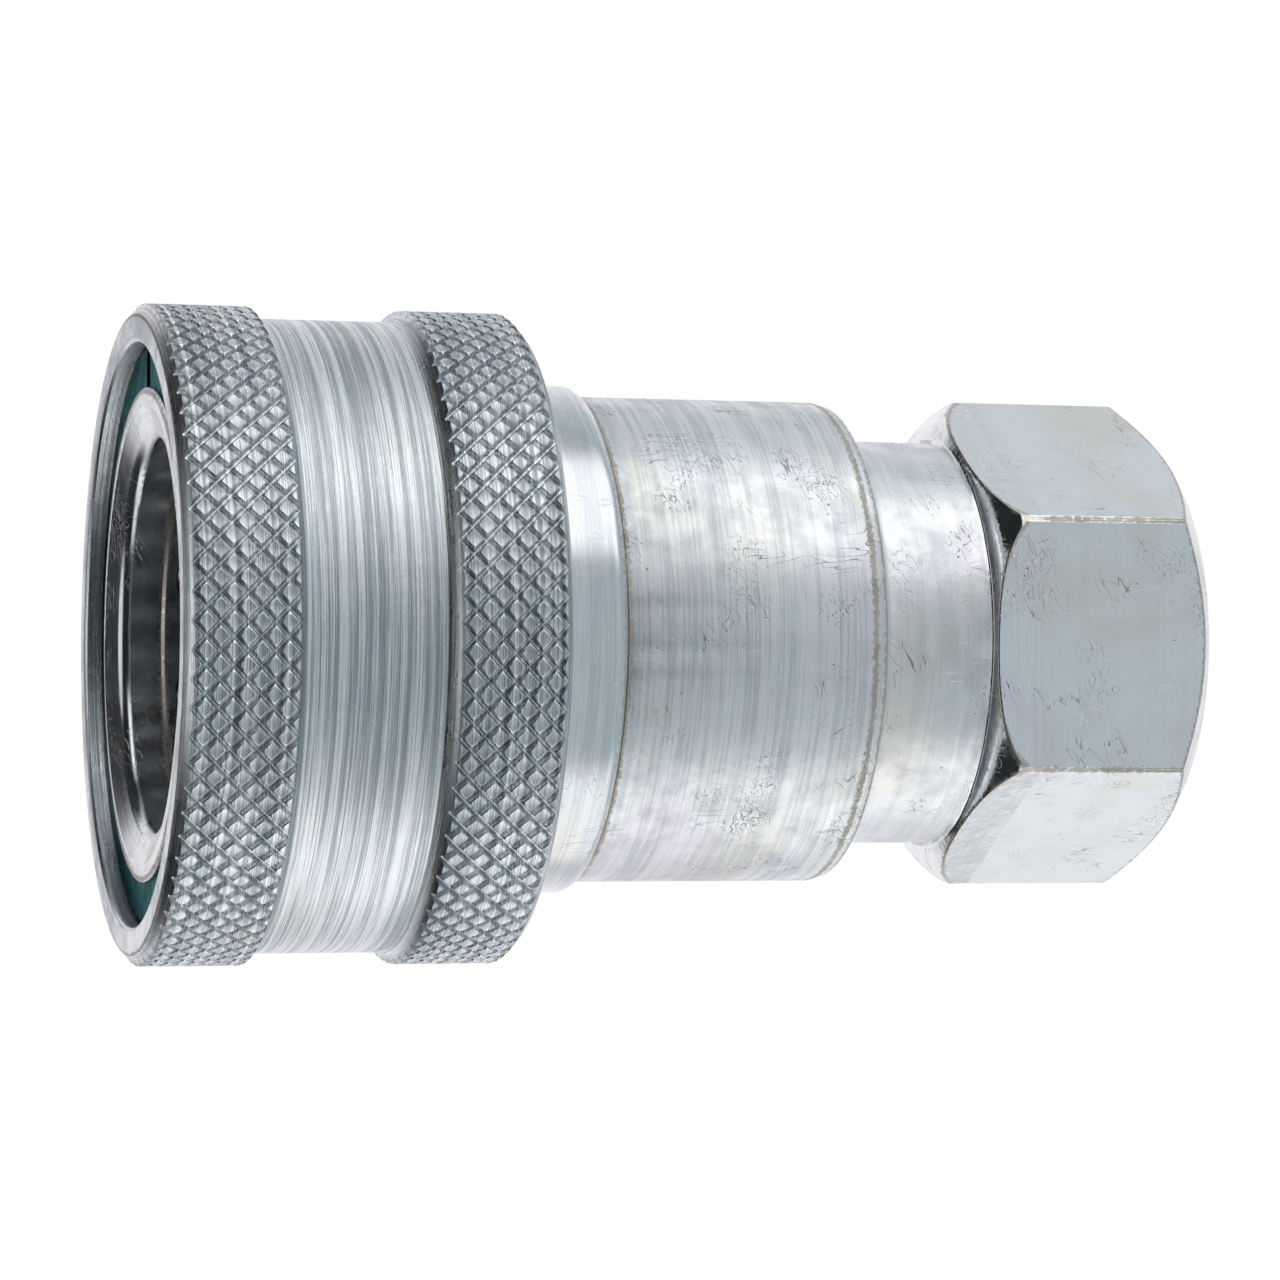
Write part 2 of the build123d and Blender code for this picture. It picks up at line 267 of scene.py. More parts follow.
# grain settings are scale, detail, roughness and distortion; bands are where a fade starts and ends
turning = {"fine": (4.0, 5.0, 0.75), "coarse": (1.3, 2.0, 0.5), "fineShare": 0.65, "band": (0.43, 0.57)}


def turnedLinesGroup():
    # rings left by the lathe: close together up the axis, long round it
    ins = [("Vector", "Vector", None), ("Lines", "Float", 900.0), ("Drift", "Float", 60.0)]
    tree, given, result = newGroup("turned_lines", ins, [("Height", "Float"), ("Shade", "Float")])
    part = split(tree, given["Vector"])
    across = [times(tree, part[axis], given["Drift"]) for axis in "XY"]
    up = times(tree, part["Z"], given["Lines"])
    flat = addNode(tree, "CombineXYZ", {0: across[0], 1: across[1], 2: up}).outputs[0]
    fine = times(tree, grain(tree, flat, *turning["fine"]), turning["fineShare"])
    coarse = times(tree, grain(tree, flat, *turning["coarse"]), 1 - turning["fineShare"])
    both = calc(tree, "ADD", fine, coarse)
    tree.links.new(both, result["Height"])
    tree.links.new(fade(tree, both, *turning["band"]), result["Shade"])
    return tree


scratches = {
    "ways": ((0.5, 260.0), (-0.9, 330.0), (1.9, 300.0)),  # turn in radians, waves per metre along it
    "tilt": 0.6, "thin": 7, "path": (1.0, 1.0, 0.4), "width": 0.012,
    "patches": (230.0, 1.0), "patchBand": (0.58, 0.68),
    "pits": 900.0, "pitBand": (0.03, 0.09), "pitPatches": (170.0,), "pitPatchBand": (0.5, 0.62),
}


def scuffGroup():
    ins = [("Vector", "Vector", None), ("Scale", "Float", 1.0), ("Amount", "Float", 0.5)]
    tree, given, result = newGroup("scuffs", ins, [("Mask", "Float"), ("Height", "Float")])
    s = scratches
    sizes = {"Vector": given["Vector"], "Scale": given["Scale"]}
    scaled = addNode(tree, "VectorMath", sizes, operation="SCALE").outputs[0]
    pits = addNode(tree, "TexVoronoi", {"Vector": scaled, "Scale": s["pits"]}, feature="F1").outputs
    where = fade(tree, grain(tree, scaled, *s["pitPatches"]), *s["pitPatchBand"])
    marks = times(tree, fade(tree, pits["Distance"], *s["pitBand"], 1.0, 0.0), where)
    for turn, waves in s["ways"]:
        rotation = (turn, turn * s["tilt"], turn)
        turned = addNode(tree, "Mapping", {"Vector": scaled, "Rotation": rotation}).outputs[0]
        scale = (waves, waves * s["thin"], waves * s["thin"])
        stretched = addNode(tree, "Mapping", {"Vector": turned, "Scale": scale}).outputs[0]
        path = apart(tree, grain(tree, stretched, *s["path"]), 0.5)
        line = fade(tree, path, 0.0, s["width"], 1.0, 0.0)
        where = fade(tree, grain(tree, turned, *s["patches"]), *s["patchBand"])
        marks = calc(tree, "MAXIMUM", marks, times(tree, line, where))
    marks = times(tree, marks, given["Amount"])
    tree.links.new(marks, result["Mask"])
    tree.links.new(times(tree, marks, -1.0), result["Height"])
    return tree


chromate = {
    "warm": (95.0, 3.0, 0.55, 0.6), "warmBand": (0.50, 0.70),
    "violet": (70.0, 3.0, 0.55, 0.8), "violetBand": (0.50, 0.72), "violetAway": (0.31, 0.17, 0.43),
    "cloud": (420.0, 4.0, 0.65),
}


def tintGroup():
    # faint warm and violet patches of the chromate film
    ins = [("Vector", "Vector", None), ("Base", "Color", (0.7, 0.74, 0.76, 1)),
           ("Warm", "Color", (0.8, 0.76, 0.66, 1)), ("Violet", "Color", (0.76, 0.7, 0.8, 1)),
           ("Strength", "Float", 0.4)]
    tree, given, result = newGroup("chromate_tint", ins, [("Color", "Color"), ("Cloud", "Float")])
    vector, strength = given["Vector"], given["Strength"]
    warm = fade(tree, grain(tree, vector, *chromate["warm"]), *chromate["warmBand"])
    moved = addNode(tree, "Mapping", {"Vector": vector, "Location": chromate["violetAway"]}).outputs[0]
    violet = fade(tree, grain(tree, moved, *chromate["violet"]), *chromate["violetBand"])
    colour = mix(tree, times(tree, warm, strength), given["Base"], given["Warm"])
    colour = mix(tree, times(tree, violet, strength), colour, given["Violet"])
    tree.links.new(colour, result["Color"])
    tree.links.new(grain(tree, vector, *chromate["cloud"]), result["Cloud"])
    return tree


wear = {"grain": (3200.0, 3.0, 0.75), "ragged": 3.4, "band": (0.55, 1.05)}


def raggedEdge(tree, away, vector):
    cloud = grain(tree, vector, *wear["grain"])
    ragged = calc(tree, "MULTIPLY_ADD", cloud, wear["ragged"], -wear["ragged"] / 2)
    return fade(tree, calc(tree, "ADD", away, ragged), *wear["band"], 1.0, 0.0)


def ringWearGroup():
    # worn metal along one turned edge, given by its radius and its height on the coupler
    ins = [("Vector", "Vector", None), ("Radius", "Float", 0.015), ("Height", "Float", 0.03),
           ("Width", "Float", 0.0003)]
    tree, given, result = newGroup("ring_wear", ins, [("Mask", "Float")])
    part = split(tree, given["Vector"])
    out = calc(tree, "POWER", calc(tree, "SUBTRACT", radiusOf(tree, part), given["Radius"]), 2.0)
    along = calc(tree, "POWER", calc(tree, "SUBTRACT", part["Z"], given["Height"]), 2.0)
    away = calc(tree, "DIVIDE", calc(tree, "SQRT", calc(tree, "ADD", out, along)), given["Width"])
    tree.links.new(raggedEdge(tree, away, given["Vector"]), result["Mask"])
    return tree


hexagon = {
    "halfFlats": 13.5, "cornerRadius": 15.448, "faceRadius": 12.5, "chamfer": 2.0,  # mm
    "domeRadius": 3.66, "domeCentre": 12.218, "domeHeight": 10.882, "soft": 0.2,
}


def hexWearGroup():
    # worn edges of the six flats: between two flats, along the rear chamfer and along the dome
    ins = [("Vector", "Vector", None), ("Width", "Float", 0.0003)]
    tree, given, result = newGroup("hexagon_wear", ins, [("Mask", "Float")])
    h = {key: value * mm for key, value in hexagon.items()}
    sector = math.pi / 3
    part = split(tree, given["Vector"])
    radius = radiusOf(tree, part)
    turns = calc(tree, "MULTIPLY_ADD", angleOf(tree, part), 1 / sector, 6.5)  # 0.5 is the middle of a flat
    offMiddle = apart(tree, calc(tree, "FRACT", turns), 0.5)
    flat = times(tree, radius, calc(tree, "COSINE", times(tree, offMiddle, sector)))
    offFlat = apart(tree, flat, h["halfFlats"])
    offCorner = times(tree, radius, times(tree, calc(tree, "SUBTRACT", 0.5, offMiddle), sector))
    slope = (h["cornerRadius"] - h["faceRadius"]) / h["chamfer"]
    cone = calc(tree, "MULTIPLY_ADD", part["Z"], slope, h["faceRadius"])
    rise = calc(tree, "POWER", calc(tree, "SUBTRACT", part["Z"], h["domeHeight"]), 2.0)
    square = calc(tree, "MAXIMUM", calc(tree, "SUBTRACT", h["domeRadius"] ** 2, rise), 0.0)
    dome = calc(tree, "ADD", calc(tree, "SQRT", square), h["domeCentre"])
    lowerHalf = calc(tree, "LESS_THAN", part["Z"], h["domeHeight"])  # the dome counts above its centre only
    offDome = calc(tree, "ADD", apart(tree, radius, dome), lowerHalf)
    offEdge = calc(tree, "MINIMUM", offCorner, calc(tree, "MINIMUM", apart(tree, radius, cone), offDome))
    away = calc(tree, "DIVIDE", calc(tree, "MAXIMUM", offFlat, offEdge), given["Width"])
    end = h["domeHeight"] + h["domeRadius"]
    onHexagon = fade(tree, part["Z"], end, end + h["soft"], 1.0, 0.0)
    tree.links.new(times(tree, raggedEdge(tree, away, given["Vector"]), onHexagon), result["Mask"])
    return tree


turnedLines = turnedLinesGroup()
scuffs = scuffGroup()
tint = tintGroup()
ringWear = ringWearGroup()
hexWear = hexWearGroup()


def newMaterial(name):
    material = bpy.data.materials.new(name)
    material.use_nodes = True
    tree = material.node_tree
    shader = tree.nodes["Principled BSDF"]
    return material, tree, shader, addNode(tree, "TexCoord").outputs["Object"]


def connect(tree, shader, colour, rough, height):
    bump = addNode(tree, "Bump", {"Height": height, "Strength": 1.0, "Distance": mm})
    tree.links.new(colour, shader.inputs["Base Color"])
    tree.links.new(rough, shader.inputs["Roughness"])
    tree.links.new(bump.outputs["Normal"], shader.inputs["Normal"])


zincPlate = {
    "base": (0.715, 0.765, 0.79), "warm": (0.80, 0.77, 0.68), "violet": (0.77, 0.72, 0.80),
    "dark": (0.24, 0.29, 0.33), "tint": 0.25,
    "lines": 1500.0, "drift": 28.0, "lineShade": 0.45, "lineDepth": 0.012,
    "rough": 0.27, "roughSpread": 0.10, "cloudDepth": 0.003,
    "scuffScale": 1.0, "scuffs": 0.3, "scuffShade": 0.5, "scuffDepth": 0.01,
    "wear": 0.75, "wearWidth": 0.2, "wornColour": (0.50, 0.46, 0.40), "wornRough": 0.2,
    "zoneEdge": 0.15,  # mm
}


def wornMask(tree, place, finish, edges, flats):
    width = finish["wearWidth"] * mm
    masks = []
    for radius, height in edges:
        inputs = {"Vector": place, "Radius": radius * mm, "Height": height * mm, "Width": width}
        masks.append(useGroup(tree, ringWear, inputs)["Mask"])
    if flats:
        masks.append(useGroup(tree, hexWear, {"Vector": place, "Width": width})["Mask"])
    worn = masks[0]
    for mask in masks[1:]:
        worn = calc(tree, "MAXIMUM", worn, mask)
    return worn


def platedSteel(name, finish, edges=(), flats=False, zones=(), bore=None):
    # edges: radius and height of each worn turned edge in mm; zones: from and to up the axis in mm,
    # roughness change, share of the turned lines; bore: radius in mm inside which the colour is darkened as
    # painted shade of the deep hole
    material, tree, shader, place = newMaterial(name)
    soft, dark = finish["zoneEdge"], (*finish["dark"], 1)
    base = useGroup(tree, tint, {
        "Vector": place, "Base": (*finish["base"], 1), "Warm": (*finish["warm"], 1),
        "Violet": (*finish["violet"], 1), "Strength": finish["tint"]})
    lines = useGroup(tree, turnedLines, {
        "Vector": place, "Lines": finish["lines"], "Drift": finish["drift"]})
    marks = useGroup(tree, scuffs, {
        "Vector": place, "Scale": finish["scuffScale"], "Amount": finish["scuffs"]})
    lineDepth, lineShade = finish["lineDepth"], finish["lineShade"]
    cloud = fade(tree, base["Cloud"], 0.3, 0.7, -0.5, 0.5)
    rough = calc(tree, "MULTIPLY_ADD", cloud, finish["roughSpread"], finish["rough"])
    part = split(tree, place)
    for start, end, change, lined in zones:
        rising = fade(tree, part["Z"], (start - soft) * mm, (start + soft) * mm)
        falling = fade(tree, part["Z"], (end - soft) * mm, (end + soft) * mm, 1.0, 0.0)
        inside = times(tree, rising, falling)
        rough = calc(tree, "MULTIPLY_ADD", inside, change, rough)
        share = calc(tree, "MULTIPLY_ADD", inside, lined - 1.0, 1.0)
        lineDepth, lineShade = times(tree, lineDepth, share), times(tree, lineShade, share)
    shade = times(tree, calc(tree, "SUBTRACT", 1.0, lines["Shade"]), lineShade)
    colour = mix(tree, shade, base["Color"], dark)
    colour = mix(tree, times(tree, marks["Mask"], finish["scuffShade"]), colour, dark)
    # painted shade: inside the bore radius the colour turns darker, standing in for the shade deep in the
    # hole
    if bore is not None:
        edge = ((bore - soft) * mm, (bore + soft) * mm)
        inside = fade(tree, radiusOf(tree, part), *edge, finish["boreShadeStrength"], 0.0)
        colour = mix(tree, inside, colour, (*finish["boreShadeColour"], 1))
    if edges or flats:
        worn = wornMask(tree, place, finish, edges, flats)
        colour = mix(tree, times(tree, worn, finish["wear"]), colour, (*finish["wornColour"], 1))
        rough = calc(tree, "MULTIPLY_ADD", worn, finish["wornRough"], rough)
    height = times(tree, base["Cloud"], finish["cloudDepth"])
    height = calc(tree, "MULTIPLY_ADD", marks["Height"], finish["scuffDepth"], height)
    height = calc(tree, "MULTIPLY_ADD", lines["Height"], lineDepth, height)
    connect(tree, shader, colour, rough, height)
    shader.inputs["Metallic"].default_value = 1.0
    return material


plainFinish = {"metallic": 0.0, "scale": 900.0, "depth": 0.004, "spread": 0.1, "grazing": (1.0, 1.0, 1.0)}


def plainSurface(name, finish):
    # rubber, plastic, drawn wire and ground balls: a fine cloudy grain in colour, gloss and relief
    material, tree, shader, place = newMaterial(name)
    low, high = finish["rough"] - finish["spread"] / 2, finish["rough"] + finish["spread"] / 2
    cloud = grain(tree, place, finish["scale"], 4.0, 0.65)
    colour = mix(tree, fade(tree, cloud, 0.35, 0.7), (*finish["base"], 1), (*finish["dark"], 1))
    rough = fade(tree, cloud, 0.3, 0.7, low, high)
    connect(tree, shader, colour, rough, times(tree, cloud, finish["depth"]))
    shader.inputs["Metallic"].default_value = finish["metallic"]
    shader.inputs["Specular Tint"].default_value = (*finish["grazing"], 1)
    return material


def paint(node, material):
    data = nodes[node].data
    data.materials.clear()
    data.materials.append(material)


def openEdges(bm):
    return sum(1 for edge in bm.edges if len(edge.link_faces) != 2)


def finishPiece(name, bm, material, body, angle):
    print(name, len(bm.faces), "faces,", openEdges(bm), "open edges")
    mesh = bpy.data.meshes.new(name)
    bm.to_mesh(mesh)
    bm.free()
    mesh.materials.append(material)
    mesh.shade_smooth()
    mesh.set_sharp_from_angle(angle=math.radians(angle))
    piece = bpy.data.objects.new(name, mesh)
    bpy.context.scene.collection.objects.link(piece)
    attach(piece, body)
    return piece


sleeve = {
    # mm; depths are from the mouth. The diamond knurl:
    "padsRound": 76, "pitch": 1.60, "depth": 0.34, "floor": 0.045, "wall": 0.12, "corner": 0.11,
    "rim": 0.07, "rimRise": 0.045, "dish": 0.13, "dishDepth": 0.03,
    "wander": 0.035, "wanderDepth": 0.2, "wanderScale": 900.0,  # unevenness of the pads
    "knurlFrom": 0.60, "knurlLength": 6.07, "rearKnurlFrom": 16.36, "endSlope": 0.6, "endDrop": 0.44,
    # the turned outside and inside
    "bandDrop": 0.75, "bandFrom": 7.3, "bandTo": 15.505, "bandRound": 0.2,
    "faceBevel": 0.70, "faceRound": 0.18, "rearBevel": 0.50, "rearRound": 0.12,
    "mouthRadius": 17.832, "mouthRound": 0.45, "ledge": 2.08, "rampRadius": 16.73, "rampFoot": 7.365,
    "rampRound": 0.4, "landRadius": 15.25, "landEnd": 9.465, "cavityRadius": 17.3, "skirtBevel": 0.3,
    "flat": 1e-3, "smooth": 33.0,  # degrees
}


def knurlBand(bm, start, crest):
    # one column of diamonds, long enough to run past both ends, then cut along the end bevels
    s = sleeve
    wide = 2 * math.pi * crest / s["padsRound"]
    middle = start + s["knurlLength"] / 2
    rows = math.ceil((s["knurlLength"] / 2 + s["endDrop"]) / (s["pitch"] / 2)) + 1
    before = set(bm.faces)
    for row in range(-rows, rows + 1):
        centre = Vector(((row % 2) * wide / 2, middle + row * s["pitch"] / 2, -s["depth"]))
        place = Matrix.Translation(centre) @ Matrix.Diagonal((wide / 2, s["pitch"] / 2, 1, 1))
        bmesh.ops.create_circle(bm, cap_ends=True, segments=4, radius=1, matrix=place)
    pads = [face for face in bm.faces if face not in before]
    bmesh.ops.remove_doubles(bm, verts=list({v for f in pads for v in f.verts}), dist=1e-4)
    bm.normal_update()
    bmesh.ops.reverse_faces(bm, faces=[face for face in pads if face.normal.z < 0])
    wall, insets = (s["wall"], s["depth"] - s["rimRise"]), [(s["floor"], 0.0)]
    insets += [wall, (s["rim"], s["rimRise"]), (s["dish"], -s["dishDepth"])]
    for inset in insets:
        bmesh.ops.inset_individual(bm, faces=pads, thickness=inset[0], depth=inset[1], use_even_offset=True)
        if inset is wall:
            corners = list({v for face in pads for v in face.verts})
            bmesh.ops.bevel(bm, geom=corners, affect="VERTICES", offset=s["corner"], segments=1,
                            profile=0.5, material=-1, offset_type="OFFSET")
            level = -s["rimRise"] - s["flat"]
            pads = [f for f in bm.faces if f not in before and min(v.co.z for v in f.verts) > level]
    ends = []
    for edge, way in ((start, -1.0), (start + s["knurlLength"], 1.0)):
        own = [f for f in bm.faces if f not in before]
        geom = list({v for f in own for v in f.verts}) + list({e for f in own for e in f.edges}) + own
        cut = bmesh.ops.bisect_plane(bm, geom=geom, dist=1e-5, plane_co=(0, edge, 0),
                                     plane_no=(0, way, s["endSlope"]), clear_outer=True)
        ends.append([e for e in cut["geom_cut"] if isinstance(e, bmesh.types.BMEdge)])
    return ends


def carry(bm, edges, stops):
    # extrudes a row of edges from stop to stop, each a depth and a height over the crest
    for depth, height in stops:
        grown = bmesh.ops.extrude_edge_only(bm, edges=edges)["geom"]
        edges = [item for item in grown if isinstance(item, bmesh.types.BMEdge)]
        for vert in {v for e in edges for v in e.verts}:
            vert.co.y, vert.co.z = depth, height


def withRounds(stops, steps=3):
    # a stop with a third number, its rounding, becomes a short run of points along the curve
    path = []
    for number, stop in enumerate(stops):
        here = Vector(stop[:2])
        if len(stop) == 2:
            path.append(here)
            continue
        back = (Vector(stops[number - 1][:2]) - here).normalized()
        ahead = (Vector(stops[number + 1][:2]) - here).normalized()
        reach = stop[2] / math.tan(back.angle(ahead) / 2)
        for step in range(steps + 1):
            t = step / steps
            path.append(here + back * reach * (1 - t) ** 2 + ahead * reach * t**2)
    return path


def makeSleeve(material):
    low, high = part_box("sleeve")
    top, crest, length = high.z / mm, high.x / mm, (high.z - low.z) / mm
    s = sleeve
    bm = bmesh.new()
    front = knurlBand(bm, s["knurlFrom"], crest)
    rear = knurlBand(bm, s["rearKnurlFrom"], crest)
    drop, run = s["endDrop"], s["endDrop"] * s["endSlope"]
    frontStart, rearStart = (s["knurlFrom"] - run, -drop), (s["rearKnurlFrom"] - run, -drop)
    frontEnd = (s["knurlFrom"] + s["knurlLength"] + run, -drop)
    rearEnd = (s["rearKnurlFrom"] + s["knurlLength"] + run, -drop)
    mouth, ramp, land, cavity = (s[key + "Radius"] - crest for key in ("mouth", "ramp", "land", "cavity"))
    band = [
        frontEnd, (s["bandFrom"], -s["bandDrop"], s["bandRound"]),
        (s["bandTo"], -s["bandDrop"], s["bandRound"]), rearStart,
    ]
    inside = [
        rearEnd, (length, -s["rearBevel"], s["rearRound"]), (length, cavity + s["skirtBevel"]),
        (length - s["skirtBevel"], cavity), (s["landEnd"], cavity),
        (s["landEnd"], land), (s["rampFoot"], land, s["rampRound"]),
        (s["ledge"], ramp), (s["ledge"], mouth),
        (0, mouth, s["mouthRound"]), (0, -s["faceBevel"], s["faceRound"]), frontStart,
    ]
    carry(bm, front[1], withRounds(band))
    carry(bm, rear[0], [rearStart])
    carry(bm, front[0], [frontStart])
    carry(bm, rear[1], withRounds(inside))
    for vert in bm.verts:  # the flat slice becomes one sector of the ring
        angle, radius = vert.co.x / crest, (crest + vert.co.z) * mm
        vert.co = (radius * math.cos(angle), radius * math.sin(angle), (top - vert.co.y) * mm)
    count = s["padsRound"]
    bmesh.ops.spin(bm, geom=bm.verts[:] + bm.edges[:] + bm.faces[:], axis=(0, 0, 1), cent=(0, 0, 0),
                   angle=2 * math.pi * (count - 1) / count, steps=count - 1, use_duplicate=True)
    bmesh.ops.remove_doubles(bm, verts=bm.verts, dist=weld * mm)
    for vert in bm.verts:  # pressed pads are never quite alike
        radius = math.hypot(vert.co.x, vert.co.y)
        if radius > (crest - s["wanderDepth"]) * mm:
            sink = s["wander"] * mm * (0.5 + 0.5 * noise.noise(vert.co * s["wanderScale"]))
            vert.co.x *= 1 - sink / radius
            vert.co.y *= 1 - sink / radius
    bmesh.ops.recalc_face_normals(bm, faces=bm.faces)
    piece = finishPiece("knurled_sleeve", bm, material, "sleeve", s["smooth"])
    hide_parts("sleeve")


springs = {
    "sleeve_spring": {"wire": 1.40, "mean": 16.23, "turns": 3.6, "body": "spring_follower",  # mm
                      "joint": "sleeve_slide", "stroke": 5.0, "still": "top"},
    "poppet_spring": {"wire": 1.00, "mean": 5.5, "turns": 5.5, "body": "coupler_body",
                      "joint": "poppet_slide", "stroke": 5.0, "still": "bottom"},
    "steps": 40, "sides": 12, "ground": 0.25, "touching": 1.03,  # shares of the wire
    "smooth": 50.0,  # degrees
}


def makeSpring(node, material):
    # closed end turns, open turns between them, both ends ground flat
    size = springs[node]
    low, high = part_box(node)
    bottom, topEnd, wire = low.z / mm, high.z / mm, size["wire"]
    ground, closed = springs["ground"] * wire, springs["touching"] * wire
    openTurns = size["turns"] - 2
    pitch = (topEnd - bottom - 2 * ground - 2 * closed) / openTurns
    bm = bmesh.new()
    stand = Matrix.Translation((size["mean"], 0, bottom + ground)) @ Matrix.Rotation(math.pi / 2, 4, "X")
    bmesh.ops.create_circle(bm, segments=springs["sides"], radius=wire / 2, matrix=stand)
    edges = bm.edges[:]
    for turns, rise in ((1, closed), (openTurns, pitch), (1, closed)):
        count = round(springs["steps"] * turns)
        grown = bmesh.ops.spin(bm, geom=edges, axis=(0, 0, 1), cent=(0, 0, 0),
                               dvec=(0, 0, rise * turns / count), angle=2 * math.pi * turns, steps=count)
        edges = [item for item in grown["geom_last"] if isinstance(item, bmesh.types.BMEdge)]
    for height, way in ((bottom, -1), (topEnd, 1)):
        bmesh.ops.bisect_plane(bm, geom=bm.verts[:] + bm.edges[:] + bm.faces[:], dist=1e-5,
                               plane_co=(0, 0, height), plane_no=(0, 0, way), clear_outer=True)
    bmesh.ops.holes_fill(bm, edges=[e for e in bm.edges if e.is_boundary], sides=0)
    bmesh.ops.recalc_face_normals(bm, faces=bm.faces)
    bmesh.ops.scale(bm, vec=(mm, mm, mm), verts=bm.verts)
    piece = finishPiece("coiled_" + node, bm, material, size["body"], springs["smooth"])
    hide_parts(node)
    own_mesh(piece)


port = {
    "bore": 9.13, "mouth": 10.88, "depth": 14.0,  # mm, the plain hole that the thread is cut in
    "pitch": 1.814, "minor": 9.36, "threadDepth": 1.15, "taper": 1 / 32, "steps": 64,
    "tooth": ((0, 0), (0, 0.06), (0.5, 0.24), (1, 0.42), (1, 0.58), (0.5, 0.76), (0, 0.94), (0, 1)),
    "fadeFrom": 12.2, "fadeTo": 13.7, "edge": 0.04, "slack": 0.05, "near": 0.2, "smooth": 32.0,
}


def polar(vert):
    return math.hypot(vert.co.x, vert.co.y) / mm, vert.co.z / mm


def threadWall():
    # the tapped wall: spun up as a helix, cut to length, tapered, run out smooth at its inner end
    bm = bmesh.new()
    p = port
    tooth = [(p["minor"] + out * p["threadDepth"], (along - 1.5) * p["pitch"]) for out, along in p["tooth"]]
    profile = [bm.verts.new((radius * mm, 0, height * mm)) for radius, height in tooth]
    edges = [bm.edges.new(pair) for pair in zip(profile, profile[1:])]
    turns = math.ceil(p["depth"] / p["pitch"]) + 2
    climb = (0, 0, p["pitch"] * mm / p["steps"])
    bmesh.ops.spin(bm, geom=edges, axis=(0, 0, 1), cent=(0, 0, 0), dvec=climb,
                   angle=2 * math.pi * turns, steps=turns * p["steps"])
    bmesh.ops.remove_doubles(bm, verts=bm.verts, dist=weld * mm)
    for height, way in ((p["edge"], -1), (p["depth"] - p["edge"], 1)):
        bmesh.ops.bisect_plane(bm, geom=bm.verts[:] + bm.edges[:] + bm.faces[:], dist=1e-8,
                               plane_co=(0, 0, height * mm), plane_no=(0, 0, way), clear_outer=True)
    for vert in bm.verts:
        radius, z = polar(vert)
        runOut = min(max((z - p["fadeFrom"]) / (p["fadeTo"] - p["fadeFrom"]), 0.0), 1.0)
        wanted = radius - z * p["taper"]
        wanted += (p["bore"] - wanted) * runOut
        wanted = max(wanted, p["mouth"] - z)
        vert.co.x *= wanted / radius
        vert.co.y *= wanted / radius
    mesh = bpy.data.meshes.new("thread")
    bm.to_mesh(mesh)
    bm.free()
    return mesh


def makeAdapter(material):
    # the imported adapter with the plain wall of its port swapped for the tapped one
    bm = bmesh.new()
    bm.from_mesh(nodes["rear_adapter"].data)
    bmesh.ops.remove_doubles(bm, verts=bm.verts, dist=weld * mm)
    slack = port["slack"]
    inner, outer, end = port["bore"] - slack, port["mouth"] + slack, port["depth"] + slack
    wall = []
    for face in bm.faces:
        spots = [polar(vert) for vert in face.verts]
        if all(inner < radius < outer and z < end for radius, z in spots):
            wall.append(face)
    bmesh.ops.delete(bm, geom=wall, context="FACES")
    thread = threadWall()
    bm.from_mesh(thread)
    bpy.data.meshes.remove(thread)
    for height in (0.0, port["depth"]):
        rims = [edge for edge in bm.edges if edge.is_boundary]
        loops = [e for e in rims if all(abs(polar(v)[1] - height) < port["near"] for v in e.verts)]
        bmesh.ops.bridge_loops(bm, edges=loops)
    bmesh.ops.recalc_face_normals(bm, faces=bm.faces)
    piece = finishPiece("threaded_adapter", bm, material, "coupler_body", port["smooth"])
    even = piece.modifiers.new("even normals", "WEIGHTED_NORMAL")
    even.keep_sharp = True
    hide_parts("rear_adapter")


top = cadBox[1][2] / mm
crest = cadBox[1][0] / mm
sleevePlate = platedSteel("sleeve_plate", {
    **zincPlate, "base": (0.80, 0.845, 0.87), "rough": 0.29, "lines": 3000.0, "drift": 20.0,
    "lineShade": 0.8, "lineDepth": 0.04, "scuffs": 0.12, "wearWidth": 0.14, "wear": 0.45,
}, [(crest - 0.7, top), (crest, top - 0.65), (crest - 0.1, top - 22.45)])
makeSleeve(sleevePlate)

bodyEdges = [
    (14.9, top - 0.8), (12.3, top - 1.9),  # nose
    (12.0, top - 4.0), (11.85, top - 4.2),  # entry of the bore
    (15.75, top - 27.3),  # flange
]
bodyPlate = platedSteel("body_plate", {
    **zincPlate, "rough": 0.19, "lineShade": 0.25, "lineDepth": 0.005, "tint": 0.5, "scuffs": 0.7,
    # the darker bore colour and its strength are painted shade inside the bore
    "boreShadeColour": (0.62, 0.65, 0.66), "boreShadeStrength": 0.6,
}, bodyEdges, bore=12.25)
paint("socket_body", bodyPlate)

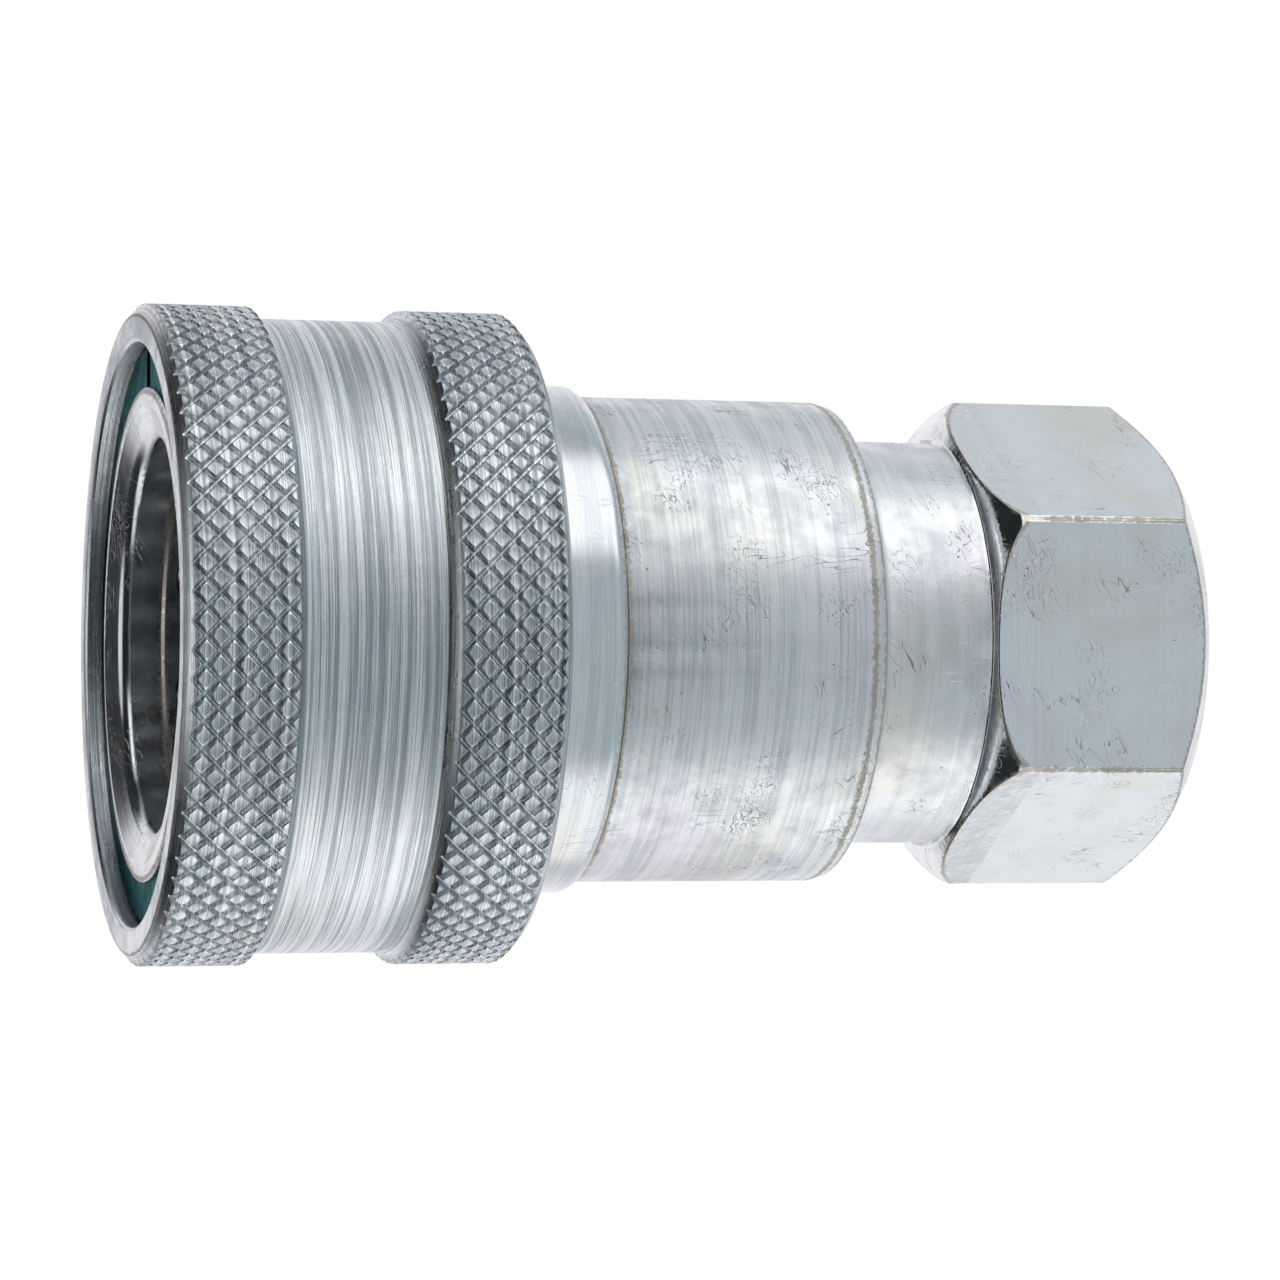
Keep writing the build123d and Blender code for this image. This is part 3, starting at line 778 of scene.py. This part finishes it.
barrelFront, barrelRear = top - 27.54, top - 43.855
adapterEdges = [(15.17, barrelFront), (15.15, barrelRear + 0.8), (15.0, barrelRear + 0.05)]
adapterZones = [
    (-1, 11.4, 0.06, 0.1),  # hexagon
    (11.4, 14.6, -0.24, 0.3),  # shoulder
    (14.6, 22.2, 0.06, 0.5),  # neck
    (22.2, 39.0, 0.1, 1.0),  # barrel
]
adapterPlate = platedSteel("adapter_plate", {
    **zincPlate, "base": (0.83, 0.865, 0.885), "rough": 0.34, "roughSpread": 0.26, "lineShade": 0.3,
    "lineDepth": 0.012, "tint": 0.6, "scuffs": 1.0, "scuffShade": 0.85, "scuffDepth": 0.03,
    "cloudDepth": 0.045, "wearWidth": 0.22, "wear": 0.75,
}, adapterEdges, True, adapterZones)
makeAdapter(adapterPlate)

# painted shade: the near-black blue-green base colour and blue-green specular tint stand in for the shade
# in the groove round the ring, not the colour of its spring steel
paint("sleeve_retaining_ring", plainSurface("ring_steel", {
    **plainFinish, "base": (0.06, 0.105, 0.11), "dark": (0.035, 0.065, 0.07), "rough": 0.3,
    "metallic": 1.0, "scale": 700.0, "grazing": (0.3, 0.46, 0.48)}))
springSteel = plainSurface("spring_steel", {
    **plainFinish, "base": (0.34, 0.35, 0.36), "dark": (0.2, 0.2, 0.21), "rough": 0.32,
    "metallic": 1.0, "scale": 1500.0})
makeSpring("sleeve_spring", springSteel)
makeSpring("poppet_spring", springSteel)
valveSteel = platedSteel("valve_steel", {**zincPlate, "rough": 0.24, "lineShade": 0.2, "tint": 0.15})
paint("poppet_valve", valveSteel)
paint("valve_guide", valveSteel)
ballSteel = plainSurface("ball_steel", {
    **plainFinish, "base": (0.74, 0.74, 0.75), "dark": (0.66, 0.66, 0.68), "rough": 0.09,
    "metallic": 1.0, "scale": 500.0, "depth": 0.0008, "spread": 0.05})
for name in nodes:
    if name.startswith("locking_ball"):
        paint(name, ballSteel)
nitrile = plainSurface("nitrile", {
    **plainFinish, "base": (0.022, 0.022, 0.024), "dark": (0.04, 0.04, 0.042), "rough": 0.42,
    "scale": 1400.0, "depth": 0.006})
for name in ("tip_seal_o_ring", "body_joint_o_ring", "poppet_seal_ring"):
    paint(name, nitrile)
paint("tip_seal_backup_ring", plainSurface("ptfe", {
    **plainFinish, "base": (0.06, 0.063, 0.065), "dark": (0.04, 0.042, 0.045), "rough": 0.45,
    "scale": 600.0}))
print("finishes done")
